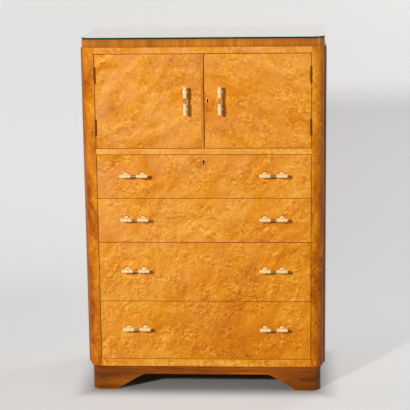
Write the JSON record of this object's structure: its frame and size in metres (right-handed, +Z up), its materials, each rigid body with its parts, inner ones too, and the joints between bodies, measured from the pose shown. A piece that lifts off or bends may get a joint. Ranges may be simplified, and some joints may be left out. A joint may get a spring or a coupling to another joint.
{
  "type": "tallboy",
  "caption": "Free-standing tallboy with hinged cupboard doors above sliding drawers, a bracket plinth, a glass top and bar handles.",
  "frame": {"origin": "on the floor, under the middle of the bounding box", "axes": "+Z up, -Y out of the front with the doors and drawers, +X to the right as seen from the front"},
  "size_m": [0.888, 0.489, 1.3187],
  "materials": {
    "maple": "bird's-eye maple veneer under gloss varnish",
    "crossband": "darker cross-banded veneer under gloss varnish",
    "walnut": "walnut under gloss varnish",
    "plywood": "plain plywood",
    "beech": "plain planed hardwood",
    "cream_plastic": "glossy cream plastic",
    "chrome_metal": "polished chrome plate",
    "bronze": "dark aged brass",
    "brass": "plain brass",
    "plate_glass": "clear plate glass with a green edge"
  },
  "bodies": {
    "carcase": {"glass_top": "plate_glass", "top_board": "crossband", "corner_post_left": "maple", "corner_post_right": "maple", "side_left": "maple", "side_right": "maple", "back_panel": "plywood", "top_rail": "maple", "middle_rail": "maple", "bottom_rail": "maple", "cupboard_floor": "plywood", "shelf": "maple", "drawer_board_1": "beech", "drawer_board_2": "beech", "drawer_board_3": "beech", "carcase_bottom": "beech", "plinth_front": "walnut", "plinth_left": "walnut", "plinth_right": "walnut", "plinth_back": "walnut", "hinge_left_upper_post_leaf": "bronze", "hinge_left_lower_post_leaf": "bronze", "hinge_right_upper_post_leaf": "bronze", "hinge_right_lower_post_leaf": "bronze"},
    "door_left": {"door_left_panel": "maple", "door_left_bead": "maple", "door_left_handle": "cream_plastic", "door_bolt_case": "brass", "hinge_left_upper_door_leaf": "bronze", "hinge_left_lower_door_leaf": "bronze"},
    "door_bolt": {"door_bolt_rod": "brass"},
    "door_right": {"door_right_panel": "maple", "door_right_handle": "cream_plastic", "door_lock_case": "brass", "hinge_right_upper_door_leaf": "bronze", "hinge_right_lower_door_leaf": "bronze"},
    "door_lock_bolt": {"door_lock_bolt": "brass"},
    "drawer_1": {"drawer_1_front": "maple", "drawer_1_box": "beech", "drawer_1_bottom": "plywood", "drawer_1_handle_left": "cream_plastic", "drawer_1_handle_right": "cream_plastic", "drawer_lock_case": "brass"},
    "drawer_2": {"drawer_2_front": "maple", "drawer_2_box": "beech", "drawer_2_bottom": "plywood", "drawer_2_handle_left": "cream_plastic", "drawer_2_handle_right": "cream_plastic"},
    "drawer_3": {"drawer_3_front": "maple", "drawer_3_box": "beech", "drawer_3_bottom": "plywood", "drawer_3_handle_left": "cream_plastic", "drawer_3_handle_right": "cream_plastic"},
    "drawer_4": {"drawer_4_front": "maple", "drawer_4_box": "beech", "drawer_4_bottom": "plywood", "drawer_4_handle_left": "cream_plastic", "drawer_4_handle_right": "cream_plastic"},
    "drawer_lock_bolt": {"drawer_lock_bolt": "brass"}
  },
  "joints": [
    {"name": "door_left_swing", "type": "hinge", "parent": "carcase", "child": "door_left", "pos_m": [-0.3877, -0.2143, 1.0886], "axis": [0, 0, -1], "range_deg": [0, 170]},
    {"name": "door_right_swing", "type": "hinge", "parent": "carcase", "child": "door_right", "pos_m": [0.3877, -0.2143, 1.0886], "axis": [0, 0, 1], "range_deg": [0, 170]},
    {"name": "door_bolt_slide", "type": "slide", "parent": "door_left", "child": "door_bolt", "axis": [0, 0, 1], "range_m": [0, 0.01]},
    {"name": "door_lock_slide", "type": "slide", "parent": "door_right", "child": "door_lock_bolt", "axis": [-1, 0, 0], "range_m": [0, 0.008]},
    {"name": "drawer_1_slide", "type": "slide", "parent": "carcase", "child": "drawer_1", "axis": [0, -1, 0], "range_m": [0, 0.32]},
    {"name": "drawer_2_slide", "type": "slide", "parent": "carcase", "child": "drawer_2", "axis": [0, -1, 0], "range_m": [0, 0.32]},
    {"name": "drawer_3_slide", "type": "slide", "parent": "carcase", "child": "drawer_3", "axis": [0, -1, 0], "range_m": [0, 0.32]},
    {"name": "drawer_4_slide", "type": "slide", "parent": "carcase", "child": "drawer_4", "axis": [0, -1, 0], "range_m": [0, 0.32]},
    {"name": "drawer_lock_slide", "type": "slide", "parent": "drawer_1", "child": "drawer_lock_bolt", "axis": [0, 0, 1], "range_m": [0, 0.008]}
  ]
}
